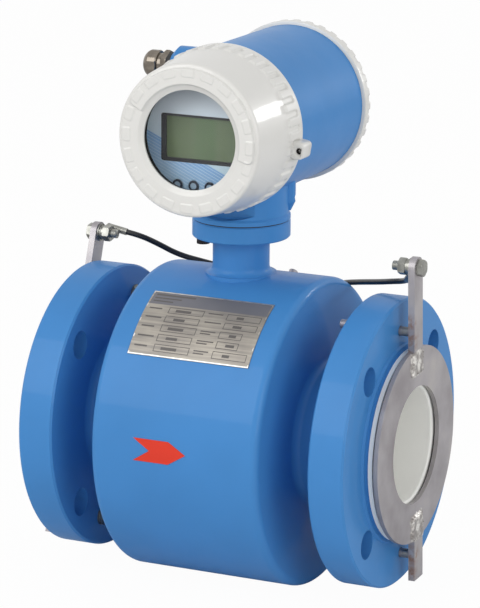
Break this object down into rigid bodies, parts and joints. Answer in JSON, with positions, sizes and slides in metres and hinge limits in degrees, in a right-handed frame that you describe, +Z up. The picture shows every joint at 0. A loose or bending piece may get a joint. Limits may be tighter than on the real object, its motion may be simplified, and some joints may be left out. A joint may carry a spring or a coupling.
{
  "type": "electromagnetic flow meter",
  "caption": "Flanged electromagnetic flow meter: lined bore, coil housing drum, grounding rings with leads, and a display head with screw covers on a neck.",
  "frame": {"origin": "centre of the flow bore, midway between the flanges", "axes": "+X is the flow direction along the bore, +Z points up the neck to the head, and the display faces -Y"},
  "size_m": [0.2636, 0.2048, 0.359],
  "materials": {
    "blue_paint": "glossy",
    "white_cover": "satin",
    "stainless": "satin",
    "zinc_plated": "satin",
    "nickel_brass": "glossy",
    "liner_ptfe": "matte",
    "black_rubber": "matte",
    "dark_screws": "satin",
    "window_glass": "glossy",
    "display_glass": "glossy",
    "panel_face": "satin",
    "key_rubber": "matte",
    "circuit_board": "satin",
    "board_plastic": "matte",
    "copper_wire": "glossy",
    "core_steel": "matte",
    "label_metal": "satin",
    "arrow_red": "satin",
    "lead_sheath": "satin"
  },
  "bodies": {
    "meter": {"blanking_plug": "nickel_brass", "board_standoffs": "zinc_plated", "bobbins": "board_plastic", "coil_cores": "core_steel", "coil_housing_shell": "blue_paint", "coils": "copper_wire", "display_board": "circuit_board", "display_panel": "panel_face", "ear_bolts": "zinc_plated", "ear_nuts": "zinc_plated", "electrode_front": "stainless", "electrode_nuts": "stainless", "electrode_posts": "stainless", "electrode_rear": "stainless", "electrode_sleeves": "liner_ptfe", "end_plate_inlet": "blue_paint", "end_plate_outlet": "blue_paint", "entry_washers": "black_rubber", "flange_inlet": "blue_paint", "flange_outlet": "blue_paint", "flow_arrow": "arrow_red", "flux_yoke": "core_steel", "gland_body": "nickel_brass", "gland_nut": "nickel_brass", "gland_seal": "black_rubber", "ground_lead_inlet": "lead_sheath", "ground_lead_outlet": "lead_sheath", "ground_ring_inlet": "stainless", "ground_ring_outlet": "stainless", "ground_stud": "stainless", "ground_stud_nut": "zinc_plated", "head_housing": "blue_paint", "lcd_module": "display_glass", "lead_lugs": "zinc_plated", "liner": "liner_ptfe", "main_board": "circuit_board", "measuring_tube": "stainless", "nameplate": "label_metal", "neck_bolts": "dark_screws", "neck_flange": "blue_paint", "neck_gasket": "black_rubber", "neck_pipe": "blue_paint", "pole_shoes": "core_steel", "power_board": "circuit_board", "ring_gaskets": "black_rubber", "ring_nuts": "zinc_plated", "terminal_block": "board_plastic", "transformer": "board_plastic"},
    "front_thread": {"front_cover_seal": "black_rubber"},
    "front_cover": {"front_cover": "white_cover", "window_glass": "window_glass", "window_retainer": "dark_screws", "cover_lock_screw": "dark_screws"},
    "rear_thread": {"rear_cover_seal": "black_rubber"},
    "rear_cover": {"rear_cover": "white_cover"},
    "key_1": {"key_1": "key_rubber"},
    "key_2": {"key_2": "key_rubber"},
    "key_3": {"key_3": "key_rubber"},
    "key_4": {"key_4": "key_rubber"}
  },
  "joints": [
    {"name": "front_cover_turn", "type": "hinge", "parent": "meter", "child": "front_thread", "pos_m": [0, -0.03, 0.2029], "axis": [0, -1, 0], "range_deg": [0, 2160]},
    {"name": "front_cover_travel", "type": "slide", "parent": "front_thread", "child": "front_cover", "axis": [0, -1, 0], "range_m": [0, 0.012]},
    {"name": "rear_cover_turn", "type": "hinge", "parent": "meter", "child": "rear_thread", "pos_m": [0, 0.08, 0.2029], "axis": [0, 1, 0], "range_deg": [0, 1620]},
    {"name": "rear_cover_travel", "type": "slide", "parent": "rear_thread", "child": "rear_cover", "axis": [0, 1, 0], "range_m": [0, 0.009]},
    {"name": "key_1_press", "type": "slide", "parent": "meter", "child": "key_1", "axis": [0, 1, 0], "range_m": [0, 0.0006], "stiffness_N_per_m": 300},
    {"name": "key_2_press", "type": "slide", "parent": "meter", "child": "key_2", "axis": [0, 1, 0], "range_m": [0, 0.0006], "stiffness_N_per_m": 300},
    {"name": "key_3_press", "type": "slide", "parent": "meter", "child": "key_3", "axis": [0, 1, 0], "range_m": [0, 0.0006], "stiffness_N_per_m": 300},
    {"name": "key_4_press", "type": "slide", "parent": "meter", "child": "key_4", "axis": [0, 1, 0], "range_m": [0, 0.0006], "stiffness_N_per_m": 300}
  ],
  "couplings": [
    {"joint": "front_cover_travel", "follows": "front_cover_turn", "m_per_rad": 0.00031831},
    {"joint": "rear_cover_travel", "follows": "rear_cover_turn", "m_per_rad": 0.00031831}
  ]
}
